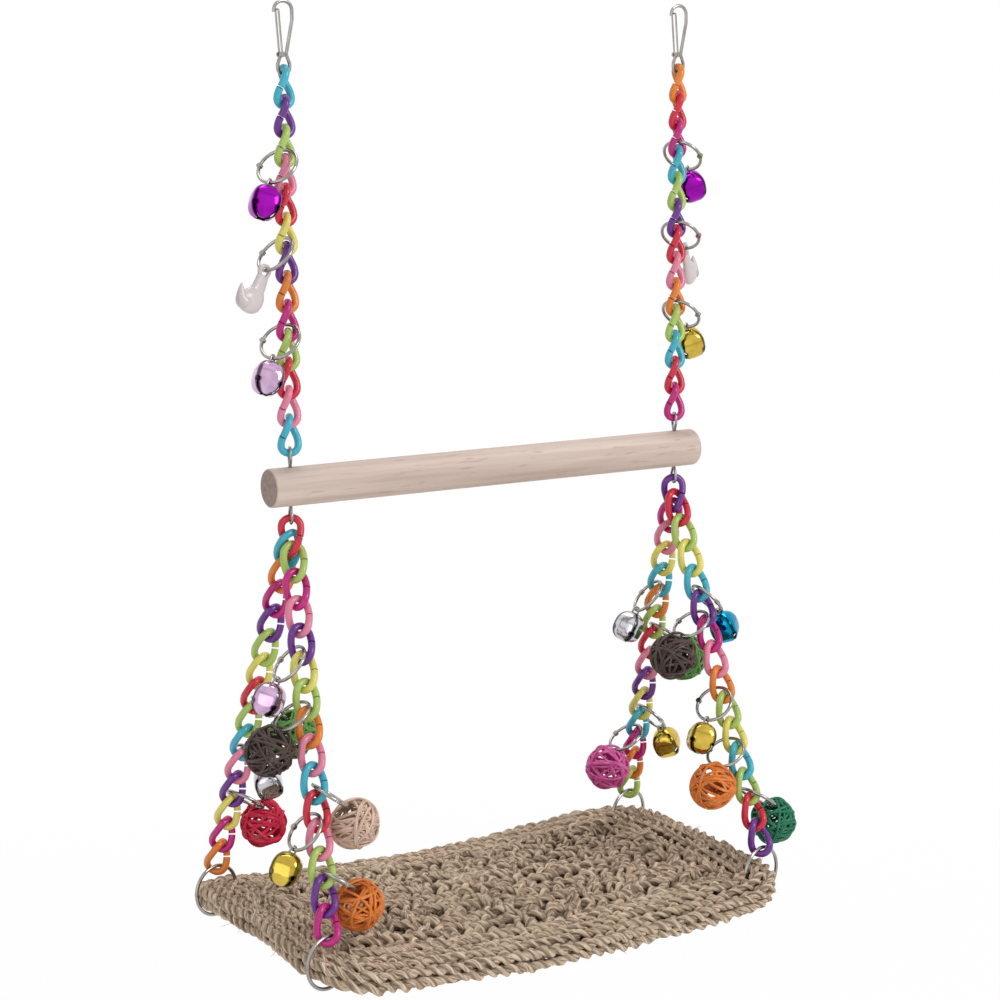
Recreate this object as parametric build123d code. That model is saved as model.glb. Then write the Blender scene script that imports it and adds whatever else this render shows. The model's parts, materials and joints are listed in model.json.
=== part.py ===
"""Hanging bird swing: a dowel perch on two link chains, with a seagrass mat below it.

Two wire snap hooks carry two upper chains of twisted plastic links. The chains hold the
perch by wire eyes. Below each end of the perch one yoke link splits into a front and a back
chain, and the four lower chains hold the mat by steel corner rings. Hinged rings on the
chains carry jingle bells, open rattan balls and two plastic charms.

The origin is midway between the two hooks, at the height of the bar that they hang on.
X runs along the perch, the front is -Y, and Z is up. All lengths are in millimetres.
"""
import os
from math import cos, pi, radians, sin, sqrt

from build123d import *

# Spans and fits
CHAIN_SPAN = 262.0
SEAT_GAP = 0.3
CUT_OVERRUN = 2.0
ROUND_SHARE = 0.95

# Snap hooks: one bent wire each, with a bail of thinner wire as the gate
HOOK_WIRE = 2.0
HOOK_DROP = 38.0
HOOK_TOP_HALF = 5.4
HOOK_EYE_HALF = 3.6
HOOK_NECK_HALF = 1.6
HOOK_EYE_HEIGHT = 5.5
HOOK_NECK_HEIGHT = 10.5
HOOK_SHOULDER_DROP = 9.0
HOOK_TIP_DROP = 5.0
HOOK_BEND = 3.0
PIVOT_PIN = 1.6
PIVOT_LENGTH = 5.2
PIVOT_GAP = 0.15
GATE_WIRE = 1.1
GATE_HALF = 1.85
GATE_CATCH = 1.5
GATE_BEND = 0.9
GATE_WALL = 0.6
GATE_BARREL = 1.4

# Twisted chain links
LINK_LENGTH = 24.6
LINK_WIRE = 4.2
LINK_LEG_HALF = 5.7
LINK_BOW_REACH = 5.0
LINK_SLIT = 0.9
LINK_LEG_TILT = 32.0
LINK_BOW_TURN = 45.0

# Upper chains: the turn of the first link about the chain and the step from link to link
UPPER_TURN = 45.0
UPPER_STEP = -1.5

# Perch and its wire eyes
PERCH_DIAMETER = 22.0
PERCH_LENGTH = 289.0
PERCH_EDGE = 1.4
EYE_WIRE = 1.6
EYE_HALF = 3.7
EYE_RISE = 11.0
EYE_DROP = 9.8
EYE_WAIST = 5.0
EYE_DEPTH = 8.0
EYE_BEND = 2.0
EYE_HOLE_GAP = 0.05

# Yoke links: the two lower chains sit one above the other in the yoke's lower bow
YOKE_TURN = 120.0
HIGH_SEAT_IN = 0.75
HIGH_SEAT_OUT = 0.87
HIGH_SEAT_RISE = 11.66
HIGH_TURN = 158.0
LOW_SEAT_IN = 0.2
LOW_SEAT_OUT = 1.07
LOW_SEAT_RISE = 5.55
LOW_TURN = 144.0
CORNER_LINK_TURN = 176.0

# Mat and its corner rings
MAT_LENGTH = 316.0
MAT_DEPTH = 200.0
MAT_CORNER = 40.0
MAT_THICKNESS = 12.0
MAT_SAG = 10.0
CORNER_RING = 32.0
CORNER_RING_WIRE = 2.2
CORNER_RING_TURN = 14.0
CORNER_RING_LIFT = 5.0
CORNER_RING_SPREAD = 142.8
CORNER_SEAT_GAP = 0.6
MAT_EDGE_GAP = 0.8

# Hinged toy rings
TOY_RING = 25.0
TOY_RING_WIRE = 2.0
TOY_RING_GAP = 0.5
RING_JOINT_GAP = 0.15
RING_BARREL_SHARE = 0.85

# Jingle bells
BELL_DIAMETER = 19.5
BELL_WALL = 0.6
BELL_RIM = 0.5
BELL_SLOT = 1.7
BELL_SLOT_SHARE = 0.62
BELL_PELLET = 6.0
STAPLE_WIRE = 1.2
STAPLE_BEND = 1.6
BELL_CROWN_GAP = 0.7

# Rattan balls: hoops of strand, each a little inside the last
BALL_DIAMETER = 30.0
BALL_STRAND = 1.8
BALL_NESTING = 0.12
BALL_POLE_SHARES = [(0, 1, 0), (0, 0, 1), (1.4, 1, 1), (-1.4, 1, 1), (1.4, -1, 1), (-1.4, -1, 1)]

# Plastic charms
CHARM_EYE = 3.2
CHARM_EYE_WIRE = 2.4
CHARM_NECK_TOP = 1.5
CHARM_NECK_FOOT = 3.4
CHARM_NECK_LENGTH = 9.0
CHARM_HALF_WIDTH = 9.0
CHARM_HALF_DEPTH = 3.8
CHARM_HALF_HEIGHT = 6.0
CHARM_TIP_LENGTH = 9.0
CHARM_TIP_ROOT = 3.0
CHARM_TIP_END = 0.8
CHARM_TIP_TURN = 48.0

# How the toys hang: lean of the ring from plumb, tilt of the toy away from the chain
RING_LEAN = {"bell": 42.0, "ball": 55.0, "charm": 42.0}
TOY_TILT = {"bell": 26.0, "ball": 22.0, "charm": 26.0}

# Colours of the links from the top of each chain to its foot
UPPER_COLOURS = {
    "left": "cyan purple lime pink red yellow purple orange magenta lime red pink cyan".split(),
    "right": "orange red magenta cyan lime purple red pink orange lime cyan red magenta".split(),
}
YOKE_COLOURS = {"left": "red", "right": "purple"}
LOWER_COLOURS = {
    "front_left": ("lime magenta pink purple yellow lime orange pink cyan red pink lime"
                   " purple magenta").split(),
    "back_left": ("cyan orange magenta purple lime yellow red lime cyan pink purple yellow"
                  " magenta orange").split(),
    "back_right": ("magenta pink yellow cyan orange lime red pink purple yellow cyan magenta"
                   " orange lime").split(),
    "front_right": ("red lime yellow cyan purple magenta pink orange lime yellow cyan lime"
                    " red purple").split(),
}
SIDE_SIGN = {"left": -1, "right": 1}
CHAIN_SIGNS = {
    "front_left": (-1, -1),
    "back_left": (-1, 1),
    "back_right": (1, 1),
    "front_right": (1, -1),
}

# Toys: chain, link that the ring threads, colour, kind, heading of the lean about Z
TOYS = [
    ("upper_left", 2, "purple", "bell", 210),
    ("upper_left", 5, "white", "charm", 192),
    ("upper_left", 8, "rose", "bell", 210),
    ("upper_right", 2, "purple", "bell", 30),
    ("upper_right", 5, "white", "charm", 35),
    ("upper_right", 8, "gold", "bell", 28),
    ("front_left", 3, "rose", "bell", 178),
    ("front_left", 5, "brown", "ball", 180),
    ("front_left", 8, "natural", "ball", -8),
    ("front_left", 9, "gold", "bell", 185),
    ("front_left", 11, "orange", "ball", 4),
    ("back_left", 6, "green", "ball", -5),
    ("back_left", 8, "silver", "bell", 20),
    ("back_left", 10, "red", "ball", 15),
    ("back_right", 3, "silver", "bell", 165),
    ("back_right", 5, "green", "ball", -4),
    ("back_right", 9, "gold", "bell", 0),
    ("back_right", 10, "pink", "ball", 180),
    ("front_right", 3, "blue", "bell", -4),
    ("front_right", 4, "brown", "ball", 185),
    ("front_right", 7, "gold", "bell", 198),
    ("front_right", 9, "orange", "ball", 200),
    ("front_right", 11, "forest", "ball", 8),
]

# Levels worked out from the sizes above, from the hooks down to the mat
SIDE_X = CHAIN_SPAN / 2
LINK_HALF = (LINK_LENGTH - LINK_WIRE) / 2
LINK_PITCH = LINK_LENGTH - 2 * LINK_WIRE - SEAT_GAP
UPPER_COUNT = len(UPPER_COLOURS["left"])
LOWER_COUNT = len(LOWER_COLOURS["front_left"])
UPPER_TOP_Z = -HOOK_DROP + HOOK_WIRE / 2 + LINK_WIRE / 2 + SEAT_GAP
UPPER_FOOT_Z = UPPER_TOP_Z - 2 * LINK_HALF - (UPPER_COUNT - 1) * LINK_PITCH
UPPER_EYE_Z = UPPER_FOOT_Z + LINK_WIRE / 2 + EYE_WIRE / 2 + SEAT_GAP
PERCH_Z = UPPER_EYE_Z - EYE_RISE - PERCH_DIAMETER / 2
LOWER_EYE_Z = PERCH_Z - PERCH_DIAMETER / 2 - EYE_DROP
YOKE_TOP_Z = LOWER_EYE_Z + EYE_WIRE / 2 + LINK_WIRE / 2 + SEAT_GAP
YOKE_FOOT_Z = YOKE_TOP_Z - 2 * LINK_HALF

# Corner rings stand so that the mat's rim fits inside them
CORNER_RADIUS = (CORNER_RING - CORNER_RING_WIRE) / 2
CORNER_Y = CORNER_RING_SPREAD / 2
MAT_RIM_DEPTH = CORNER_RING_LIFT + MAT_THICKNESS / 2
RIM_HALF = sqrt(CORNER_RADIUS**2 - MAT_RIM_DEPTH**2) - CORNER_RING_WIRE / 2 - MAT_EDGE_GAP
CORNER_RUN = CORNER_Y - (MAT_DEPTH / 2 - MAT_CORNER)
MAT_EDGE_X = MAT_LENGTH / 2 - MAT_CORNER + sqrt(MAT_CORNER**2 - CORNER_RUN**2)
CORNER_X = MAT_EDGE_X - RIM_HALF * cos(radians(CORNER_RING_TURN))


def seat_of(side, depth):
    """Top of a lower chain in its yoke; two chains sit low and two sit high."""
    if side * depth > 0:
        inward, outward, rise = LOW_SEAT_IN, LOW_SEAT_OUT, LOW_SEAT_RISE
    else:
        inward, outward, rise = HIGH_SEAT_IN, HIGH_SEAT_OUT, HIGH_SEAT_RISE
    return Vector(side * (SIDE_X - inward), depth * outward, YOKE_FOOT_Z + rise)


# The high chains hang taut and set the level of the mat; the low ones keep some slack
TAUT_TOP = seat_of(1, -1)
TAUT_LENGTH = 2 * LINK_HALF + (LOWER_COUNT - 1) * LINK_PITCH
TAUT_RUN = sqrt((CORNER_X - TAUT_TOP.X) ** 2 + (-CORNER_Y - TAUT_TOP.Y) ** 2)
CORNER_HOLD = LINK_WIRE / 2 + CORNER_RING_WIRE / 2 + CORNER_SEAT_GAP
CORNER_TOP_Z = TAUT_TOP.Z - sqrt((TAUT_LENGTH - CORNER_HOLD) ** 2 - TAUT_RUN**2)
CORNER_Z = CORNER_TOP_Z - CORNER_RADIUS
MAT_RING_Z = CORNER_Z - CORNER_RING_LIFT

nodes = {}


def heading(angle):
    """Level unit vector at an angle about Z."""
    return Vector(cos(radians(angle)), sin(radians(angle)), 0)


def wire_along(path, diameter):
    """Round wire swept along a path that starts square to its section."""
    return sweep(Plane(path @ 0, z_dir=path % 0) * Circle(diameter / 2), path=path)


def add(node, *shapes):
    """Put every solid of the shapes into a node."""
    nodes.setdefault(node, []).extend(solid for shape in shapes for solid in shape.solids())


def biarc(start, start_tangent, end, end_tangent, reach):
    """Two tangent arcs between two points; reach sets the length of the first one."""
    chord = end - start
    far = (chord.dot(chord) / 2 - reach * chord.dot(start_tangent)) / (
        chord.dot(end_tangent) - reach * (start_tangent.dot(end_tangent) - 1)
    )
    joint = ((start + start_tangent * reach) * far + (end - end_tangent * far) * reach) / (reach + far)
    first = TangentArc(start, joint, tangent=start_tangent)
    second = TangentArc(joint, end, tangent=first % 1)
    return [first, second]


def twisted_link():
    """One chain link: a wire loop twisted a quarter turn, with a slit half way up one leg."""
    tilt = radians(LINK_LEG_TILT)
    crown = Vector(0, 0, LINK_HALF)
    crown_run = heading(LINK_BOW_TURN)
    leg = Vector(LINK_LEG_HALF, 0, 0)
    leg_run = Vector(0, -sin(tilt), -cos(tilt))
    quarter = biarc(crown, crown_run, leg, leg_run, LINK_BOW_REACH)
    under = [arc.rotate(Axis.X, 180) for arc in quarter]
    half = quarter + under
    loop = half + [arc.rotate(Axis.Z, 180) for arc in half]
    open_leg = [arc for arc in loop if (arc @ 0.5).X < 0 and abs((arc @ 0.5).Z) < LINK_HALF / 2]
    ends = [trimmed_from_slit(arc) for arc in open_leg]
    path = Wire([arc for arc in loop if arc not in open_leg] + ends)
    link = wire_along(path, LINK_WIRE)
    section = pi * (LINK_WIRE / 2) ** 2
    print("link volume share of section times length", round(link.volume / (section * path.length), 4))
    return link


def trimmed_from_slit(arc):
    """Leg arc shortened by half the slit at its end on the middle of the leg."""
    cut_share = LINK_SLIT / 2 / arc.length
    middle_first = abs((arc @ 0).Z) < abs((arc @ 1).Z)
    return arc.trim(cut_share, 1) if middle_first else arc.trim(0, 1 - cut_share)


def snap_hook(side):
    """Wire hook and its gate, in the XZ plane, hung on the bar at the origin's height."""
    neck_z = HOOK_NECK_HEIGHT - HOOK_DROP
    eye_z = HOOK_EYE_HEIGHT - HOOK_DROP
    crown_z = HOOK_WIRE / 2
    outline = [
        (-HOOK_NECK_HALF, neck_z),
        (-HOOK_EYE_HALF, eye_z),
        (-HOOK_EYE_HALF, -HOOK_DROP),
        (HOOK_EYE_HALF, -HOOK_DROP),
        (HOOK_EYE_HALF, eye_z),
        (HOOK_NECK_HALF, neck_z),
        (HOOK_TOP_HALF, -HOOK_SHOULDER_DROP),
        (HOOK_TOP_HALF, crown_z),
        (-HOOK_TOP_HALF, crown_z),
        (-HOOK_TOP_HALF, -HOOK_TIP_DROP),
    ]
    eye_bend = ROUND_SHARE * HOOK_EYE_HALF
    top_bend = ROUND_SHARE * HOOK_TOP_HALF
    bends = [HOOK_BEND, eye_bend, eye_bend, HOOK_BEND, HOOK_BEND, HOOK_BEND, top_bend, top_bend]
    path = FilletPolyline(*[Vector(x, 0, z) for x, z in outline], radius=bends)
    pivot = Vector(-HOOK_NECK_HALF, 0, neck_z)
    pin_place = Plane(pivot, z_dir=(0, 1, 0))
    hook = wire_along(path, HOOK_WIRE) + pin_place * Cylinder(PIVOT_PIN / 2, PIVOT_LENGTH)

    catch_x = -HOOK_TOP_HALF + HOOK_WIRE / 2 + SEAT_GAP + GATE_WIRE / 2
    catch = Vector(catch_x, 0, GATE_CATCH - HOOK_TIP_DROP)
    bore = PIVOT_PIN / 2 + PIVOT_GAP
    foot = pivot + (catch - pivot).normalized() * (bore + GATE_WALL / 2)
    bail = [foot + (0, GATE_HALF, 0), catch + (0, GATE_HALF, 0)]
    bail += [catch - (0, GATE_HALF, 0), foot - (0, GATE_HALF, 0)]
    gate = wire_along(FilletPolyline(*bail, radius=GATE_BEND), GATE_WIRE)
    for depth in (-1, 1):
        barrel_place = Plane(pivot + (0, depth * GATE_HALF, 0), z_dir=(0, 1, 0))
        gate += barrel_place * Cylinder(bore + GATE_WALL, GATE_BARREL)
    gate -= pin_place * Cylinder(bore, PIVOT_LENGTH + CUT_OVERRUN)
    place = Location((side * SIDE_X, 0, 0))
    return hook.moved(place), gate.moved(place)


def wire_eye(turn, rise):
    """Wire eye whose two ends run down into the perch; its foot is on the perch's surface."""
    stem = EYE_WIRE / 2 + EYE_HOLE_GAP
    profile = [(-stem, -EYE_DEPTH), (-stem, 0), (-EYE_HALF, EYE_WAIST), (-EYE_HALF, rise)]
    profile += [(-x, z) for x, z in reversed(profile)]
    top_bend = ROUND_SHARE * EYE_HALF
    bends = [EYE_BEND, EYE_BEND, top_bend, top_bend, EYE_BEND, EYE_BEND]
    path = FilletPolyline(*[Vector(x, 0, z) for x, z in profile], radius=bends)
    return wire_along(path, EYE_WIRE).rotate(Axis.Z, turn)


def make_perch():
    """Dowel along X, bored for the four wire eyes, and the eyes."""
    rod = Cylinder(PERCH_DIAMETER / 2, PERCH_LENGTH)
    rod = fillet(rod.edges().filter_by(GeomType.CIRCLE), PERCH_EDGE)
    rod = Pos(0, 0, PERCH_Z) * Rot(0, 90, 0) * rod
    hole = EYE_WIRE + 2 * EYE_HOLE_GAP
    last_turn = UPPER_TURN + UPPER_STEP * (UPPER_COUNT - 1)
    upper_plane = last_turn - LINK_BOW_TURN + 90
    lower_plane = YOKE_TURN + LINK_BOW_TURN + 90
    for side in SIDE_SIGN.values():
        top = Vector(side * SIDE_X, 0, PERCH_Z + PERCH_DIAMETER / 2)
        foot = Vector(side * SIDE_X, 0, PERCH_Z - PERCH_DIAMETER / 2)
        for point, lift in ((top, -1), (foot, 1)):
            depth = EYE_DEPTH + EYE_HOLE_GAP
            middle = point + (0, 0, lift * (depth - CUT_OVERRUN) / 2)
            rod -= Pos(middle) * Cylinder(hole, depth + CUT_OVERRUN)
        add("eye_pins", Pos(top) * wire_eye(upper_plane, EYE_RISE))
        add("eye_pins", Pos(foot) * Rot(180, 0, 0) * wire_eye(-lower_plane, EYE_DROP))
    add("perch_dowel", rod)


def upper_link_place(side, index):
    """Frame of a link in an upper chain, with X across its legs."""
    centre = Vector(side * SIDE_X, 0, UPPER_TOP_Z - LINK_HALF - index * LINK_PITCH)
    return Plane(centre, x_dir=heading(UPPER_TURN + UPPER_STEP * index), z_dir=(0, 0, 1))


def lower_run(chain):
    """Top point, downward direction and link pitch of a lower chain."""
    side, depth = CHAIN_SIGNS[chain]
    top = seat_of(side, depth)
    line = Vector(side * CORNER_X, depth * CORNER_Y, CORNER_TOP_Z) - top
    pitch = (line.length + CORNER_HOLD - 2 * LINK_HALF) / (LOWER_COUNT - 1)
    return top, line.normalized(), pitch


def lower_link_place(chain, index):
    """Frame of a link in a lower chain; the chain turns slowly towards its corner ring."""
    side, depth = CHAIN_SIGNS[chain]
    top, down, pitch = lower_run(chain)
    first_turn = LOW_TURN if side * depth > 0 else HIGH_TURN
    turn = first_turn + (CORNER_LINK_TURN - first_turn) * index / (LOWER_COUNT - 1)
    across = heading(turn)
    across = across - down * across.dot(down)
    return Plane(top + down * (LINK_HALF + index * pitch), x_dir=across, z_dir=-down)


def make_chains(link):
    """Both upper chains, the two yokes and the four lower chains, sorted by colour."""
    for name, side in SIDE_SIGN.items():
        for index, colour in enumerate(UPPER_COLOURS[name]):
            node = f"{name}_lead_link" if index == 0 else f"{name}_links_{colour}"
            add(node, upper_link_place(side, index) * link)
        yoke_centre = (side * SIDE_X, 0, YOKE_TOP_Z - LINK_HALF)
        yoke_place = Plane(yoke_centre, x_dir=heading(YOKE_TURN), z_dir=(0, 0, 1))
        add(f"lower_links_{YOKE_COLOURS[name]}", yoke_place * link)
    for chain, colours in LOWER_COLOURS.items():
        for index, colour in enumerate(colours):
            add(f"lower_links_{colour}", lower_link_place(chain, index) * link)


def hinged_ring(outer, wire):
    """Two half rings that meet at a hinge barrel on -X and at a plain joint on +X."""
    radius = (outer - wire) / 2
    barrel_radius = RING_BARREL_SHARE * wire
    barrel_place = Pos(-radius, 0, 0)
    torus = Torus(radius, wire / 2)
    room = 2 * outer
    upper_room = Pos(0, room / 2 + RING_JOINT_GAP / 2, 0) * Box(room, room, room)
    lower_room = Pos(0, -room / 2 - RING_JOINT_GAP / 2, 0) * Box(room, room, room)
    barrel = barrel_place * Cylinder(barrel_radius, wire)
    relief = barrel_place * Cylinder(barrel_radius + RING_JOINT_GAP, room)
    return [(torus & upper_room) + barrel, (torus & lower_room) - relief]


def make_corner_rings():
    """Steel rings that go through the mat near its corners and round its ends."""
    halves = hinged_ring(CORNER_RING, CORNER_RING_WIRE)
    for side, depth in CHAIN_SIGNS.values():
        outward = heading(CORNER_RING_TURN) * side
        centre = Vector(side * CORNER_X, depth * CORNER_Y, CORNER_Z)
        place = Plane(centre, x_dir=outward, z_dir=outward.cross(Vector(0, 0, 1)))
        add("corner_rings", *[place * half for half in halves])


def make_mat():
    """Sagging slab with rounded corners and four slots for the corner rings."""
    half_length = MAT_LENGTH / 2
    bow_radius = (half_length**2 + MAT_SAG**2) / (2 * MAT_SAG)
    bow_z = MAT_RING_Z + sqrt(bow_radius**2 - CORNER_X**2)
    bow_place = Plane((0, 0, bow_z), z_dir=(0, 1, 0))
    outer = bow_place * Cylinder(bow_radius + MAT_THICKNESS / 2, MAT_DEPTH)
    inner = bow_place * Cylinder(bow_radius - MAT_THICKNESS / 2, MAT_DEPTH + CUT_OVERRUN)
    height = MAT_SAG + 2 * MAT_THICKNESS
    outline = Pos(0, 0, MAT_RING_Z) * RectangleRounded(MAT_LENGTH, MAT_DEPTH, MAT_CORNER)
    mat = (extrude(outline, height, both=True) & outer) - inner
    slot_drop = MAT_RIM_DEPTH + CORNER_RADIUS * CORNER_X / bow_radius
    slot_near = sqrt(CORNER_RADIUS**2 - slot_drop**2) - CORNER_RING_WIRE / 2 - SEAT_GAP
    slot_far = CORNER_RADIUS + RING_BARREL_SHARE * CORNER_RING_WIRE + SEAT_GAP
    slot_width = CORNER_RING_WIRE + 2 * MAT_EDGE_GAP
    for side, depth in CHAIN_SIGNS.values():
        outward = heading(CORNER_RING_TURN) * side
        centre = Vector(side * CORNER_X, depth * CORNER_Y, MAT_RING_Z)
        middle = centre - outward * ((slot_near + slot_far) / 2)
        slot = Box(slot_far - slot_near, slot_width, height)
        mat -= Plane(middle, x_dir=outward, z_dir=(0, 0, 1)) * slot
    add("mat", mat)


def jingle_bell():
    """Two half shells with a rim, a crossed slot below, a staple above and a loose pellet."""
    radius = BELL_DIAMETER / 2
    centre_z = -TOY_RING_WIRE / 2 - BELL_CROWN_GAP - radius
    middle = Pos(0, 0, centre_z)
    shell = Sphere(radius) - Sphere(radius - BELL_WALL)
    rim = Cylinder(radius + BELL_RIM, BELL_RIM) - Cylinder(radius - BELL_WALL, 2 * BELL_RIM)
    reach = BELL_DIAMETER + CUT_OVERRUN
    above = Pos(0, 0, reach / 2) * Box(reach, reach, reach)
    below = Pos(0, 0, -reach / 2) * Box(reach, reach, reach)
    whole = shell + rim
    lower = whole & below
    slot_depth = BELL_SLOT_SHARE * radius
    for slot in (Box(reach, BELL_SLOT, slot_depth), Box(BELL_SLOT, reach, slot_depth)):
        lower -= Pos(0, 0, -radius + slot_depth / 2 - CUT_OVERRUN) * slot
    staple_half = TOY_RING_WIRE / 2 + STAPLE_WIRE / 2 + SEAT_GAP
    staple_foot = centre_z + radius - BELL_WALL
    legs = [(-staple_half, staple_foot), (-staple_half, staple_half)]
    legs += [(-x, z) for x, z in reversed(legs)]
    bow = FilletPolyline(*[Vector(x, 0, z) for x, z in legs], radius=STAPLE_BEND)
    staple = wire_along(bow, STAPLE_WIRE)
    upper = middle * (whole & above) + (staple - middle * Sphere(radius - BELL_WALL))
    pellet_z = centre_z - radius + BELL_WALL + SEAT_GAP + BELL_PELLET / 2
    return [upper, middle * lower, Pos(0, 0, pellet_z) * Sphere(BELL_PELLET / 2)]


def rattan_ball():
    """Open ball of fused strand hoops; the first hoop goes over the ring that carries it."""
    hoop_radius = (BALL_DIAMETER - BALL_STRAND) / 2
    centre_z = TOY_RING_WIRE / 2 + BALL_STRAND / 2 + SEAT_GAP - hoop_radius
    ball = None
    for count, pole in enumerate(BALL_POLE_SHARES):
        inset = count * BALL_NESTING
        hoop = Plane((0, 0, centre_z), z_dir=pole) * Torus(hoop_radius - inset, BALL_STRAND / 2)
        ball = hoop if ball is None else ball + hoop
    return [ball]


def plastic_charm():
    """Flat charm: an eye on top, a neck, a rounded body and one upturned tip."""
    eye_z = TOY_RING_WIRE / 2 + CHARM_EYE_WIRE / 2 + SEAT_GAP - CHARM_EYE
    neck_z = eye_z - CHARM_EYE
    foot_z = neck_z - CHARM_NECK_LENGTH
    body_z = foot_z - CHARM_HALF_HEIGHT + CHARM_NECK_FOOT / 2
    eye = Plane((0, 0, eye_z), z_dir=(0, 1, 0)) * Torus(CHARM_EYE, CHARM_EYE_WIRE / 2)
    neck = Cone(CHARM_NECK_FOOT, CHARM_NECK_TOP, CHARM_NECK_LENGTH)
    body = scale(Sphere(1), by=(CHARM_HALF_WIDTH, CHARM_HALF_DEPTH, CHARM_HALF_HEIGHT))
    tip = Pos(0, 0, CHARM_TIP_LENGTH / 2) * Cone(CHARM_TIP_ROOT, CHARM_TIP_END, CHARM_TIP_LENGTH)
    tip_place = Pos(CHARM_HALF_WIDTH / 2, 0, body_z) * Rot(0, CHARM_TIP_TURN, 0)
    charm = eye + Pos(0, 0, neck_z - CHARM_NECK_LENGTH / 2) * neck
    charm = charm + Pos(0, 0, body_z) * body + tip_place * tip
    return [charm]


def toy_frames(chain, index, kind, angle):
    """Frame of the ring in its plane, and of the toy at the foot of the ring."""
    if chain.startswith("upper"):
        place = upper_link_place(SIDE_SIGN[chain.split("_")[1]], index)
        pitch = LINK_PITCH
    else:
        place = lower_link_place(chain, index)
        pitch = lower_run(chain)[2]
    seat_drop = pitch - LINK_HALF - LINK_WIRE / 2 - TOY_RING_WIRE / 2 - TOY_RING_GAP
    top = place.origin - place.z_dir * seat_drop
    out = heading(angle)
    along = heading(angle + 90)
    lean = radians(RING_LEAN[kind])
    down = out * sin(lean) - Vector(0, 0, cos(lean))
    radius = (TOY_RING - TOY_RING_WIRE) / 2
    ring_place = Plane(top + down * radius, x_dir=along, z_dir=along.cross(down))
    tilt = radians(TOY_TILT[kind])
    toy_x = out * cos(tilt) + Vector(0, 0, sin(tilt))
    toy_z = Vector(0, 0, cos(tilt)) - out * sin(tilt)
    return ring_place, Plane(top + down * (2 * radius), x_dir=toy_x, z_dir=toy_z)


def make_toys():
    """Every toy with its own ring; the rings stay with the chain that they hang on."""
    shapes = {"bell": jingle_bell(), "ball": rattan_ball(), "charm": plastic_charm()}
    ring = hinged_ring(TOY_RING, TOY_RING_WIRE)
    ring_nodes = {"upper_left": "left_toy_rings", "upper_right": "right_toy_rings"}
    for chain, index, colour, kind, angle in TOYS:
        ring_place, toy_place = toy_frames(chain, index, kind, angle)
        ring_node = ring_nodes.get(chain, "lower_toy_rings")
        add(ring_node, *[ring_place * half for half in ring])
        add(f"{chain}_{colour}_{kind}", *[toy_place * piece for piece in shapes[kind]])


def make_hooks():
    """Both snap hooks and their gates."""
    for name, side in SIDE_SIGN.items():
        hook, gate = snap_hook(side)
        add(f"{name}_hook", hook)
        add(f"{name}_gate", gate)


make_hooks()
make_chains(twisted_link())
make_perch()
make_corner_rings()
make_mat()
make_toys()

os.makedirs("parts", exist_ok=True)
for node, solids in nodes.items():
    export_step(solids[0] if len(solids) == 1 else Compound(solids), f"parts/{node}.step")
print(len(nodes), "nodes,", sum(len(solids) for solids in nodes.values()), "solids")
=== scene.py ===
# %% [markdown]
# # A hanging bird swing
# A wooden perch hangs on two chains of coloured links, and four more chains hold a seagrass mat
# below it. The rigid parts come from the imported model. This lesson adds the soft and wound parts,
# which are the mat and the rattan balls, gives the bells and the charms their finer shape, and
# finishes every part.

# %% Load the imported model
import json
from math import cos, pi, radians, sin

import bmesh
import bpy
import numpy as np
from mathutils import Matrix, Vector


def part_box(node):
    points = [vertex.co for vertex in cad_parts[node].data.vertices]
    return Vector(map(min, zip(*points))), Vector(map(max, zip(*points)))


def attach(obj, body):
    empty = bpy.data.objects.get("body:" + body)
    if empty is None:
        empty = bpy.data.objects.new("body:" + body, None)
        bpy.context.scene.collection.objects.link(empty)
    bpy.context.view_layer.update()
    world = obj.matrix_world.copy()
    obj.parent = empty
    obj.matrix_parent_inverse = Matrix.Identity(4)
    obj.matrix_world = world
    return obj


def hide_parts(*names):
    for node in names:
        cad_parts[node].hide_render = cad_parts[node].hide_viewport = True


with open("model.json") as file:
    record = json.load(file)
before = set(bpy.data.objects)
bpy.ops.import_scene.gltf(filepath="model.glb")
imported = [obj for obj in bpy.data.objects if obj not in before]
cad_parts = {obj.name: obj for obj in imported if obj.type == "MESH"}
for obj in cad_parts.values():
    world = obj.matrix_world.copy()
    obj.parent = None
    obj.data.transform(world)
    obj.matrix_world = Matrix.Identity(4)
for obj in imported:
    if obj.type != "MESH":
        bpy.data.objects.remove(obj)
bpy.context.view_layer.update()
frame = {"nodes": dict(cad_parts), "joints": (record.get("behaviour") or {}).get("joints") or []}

nodes = frame["nodes"]

# %% [markdown]
# ## The camera
# The camera was fitted to points of the hooks, the perch and the corner rings. A matrix of twelve
# numbers would do, but nobody can read one. So the three axes are worked out from a turn about Z, a
# lift and a small roll, and the place from the point that the camera looks at.

# %% Camera
scene = bpy.context.scene
scene.view_settings.view_transform = "Standard"
turn, lift, roll = radians(-31.5655), radians(9.985), radians(-0.06)
look_at, look_distance = np.array([0.0061684, 0.0, -0.2849992]), 1.4639428
lens_mm, sensor_mm, farthest = 89.753, 36.0, 20.0
back = np.array([sin(turn) * cos(lift), -cos(turn) * cos(lift), sin(lift)])
right = np.array([cos(turn), sin(turn), 0.0])
up = np.cross(back, right)
right, up = cos(roll) * right + sin(roll) * up, cos(roll) * up - sin(roll) * right
eye_point = look_at + look_distance * back
place = np.eye(4)
place[:3, :4] = np.stack([right, up, back, eye_point], axis=1)
camera = bpy.data.objects.new("camera", bpy.data.cameras.new("camera"))
camera.matrix_world = Matrix(place.tolist())
camera.data.lens, camera.data.sensor_width = lens_mm, sensor_mm
camera.data.clip_end = farthest
scene.collection.objects.link(camera)
scene.camera = camera
print("camera at", eye_point.round(3))

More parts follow.
